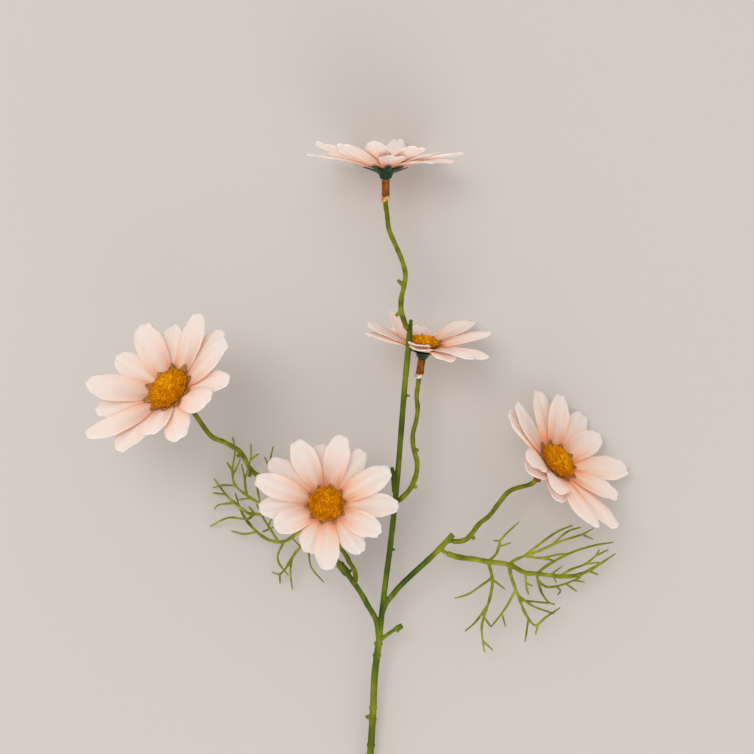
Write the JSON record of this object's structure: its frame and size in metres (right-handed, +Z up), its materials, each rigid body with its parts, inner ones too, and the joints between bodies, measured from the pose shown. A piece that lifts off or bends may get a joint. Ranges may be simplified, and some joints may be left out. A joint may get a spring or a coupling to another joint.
{
  "type": "artificial cosmos flower spray",
  "caption": "Artificial cosmos spray lying on its back: pale peach fabric blooms with ochre centres on curly stalks, feathery plastic fronds and one branched green stem.",
  "frame": {"origin": "on the surface that the spray lies on, under the middle of its bounding box", "axes": "+Y along the stem towards the flowering end, +Z up from the surface, +X to the right seen from above"},
  "size_m": [0.2534, 0.368, 0.0905],
  "materials": {
    "petal_fabric": "thin woven polyester, heat pressed, peach fading to blush",
    "flower_centre": "packed ochre flocked florets",
    "brown_bract": "matt brown",
    "dark_calyx": "moulded, satin dark green",
    "brown_neck": "moulded, glossy brown",
    "olive_stalk": "moulded, satin olive",
    "green_stem": "moulded, satin green with darker patches",
    "amber_glue": "glossy hardened hot glue",
    "cream_glue": "glossy hardened hot glue",
    "frond_plastic": "moulded, satin yellow green"
  },
  "bodies": {
    "root": {"front_petals_front": "petal_fabric", "front_petals_back": "petal_fabric", "front_disc": "flower_centre", "front_bracts": "brown_bract", "front_calyx": "dark_calyx", "front_neck": "brown_neck", "front_stalk": "olive_stalk", "left_petals_front": "petal_fabric", "left_petals_back": "petal_fabric", "left_disc": "flower_centre", "left_bracts": "brown_bract", "left_calyx": "dark_calyx", "left_neck": "brown_neck", "left_stalk": "olive_stalk", "right_petals_front": "petal_fabric", "right_petals_back": "petal_fabric", "right_disc": "flower_centre", "right_bracts": "brown_bract", "right_calyx": "dark_calyx", "right_neck": "brown_neck", "right_stalk": "olive_stalk", "middle_petals_front": "petal_fabric", "middle_petals_back": "petal_fabric", "middle_disc": "flower_centre", "middle_bracts": "brown_bract", "middle_calyx": "dark_calyx", "middle_neck": "brown_neck", "middle_stalk": "olive_stalk", "top_petals_front": "petal_fabric", "top_petals_back": "petal_fabric", "top_disc": "flower_centre", "top_bracts": "brown_bract", "top_calyx": "dark_calyx", "top_neck": "brown_neck", "top_stalk": "olive_stalk", "main_stem": "green_stem", "top_glue": "amber_glue", "middle_glue": "cream_glue", "right_frond": "frond_plastic", "left_frond_lower": "frond_plastic", "left_frond_middle": "frond_plastic", "left_frond_near": "frond_plastic"}
  },
  "joints": []
}
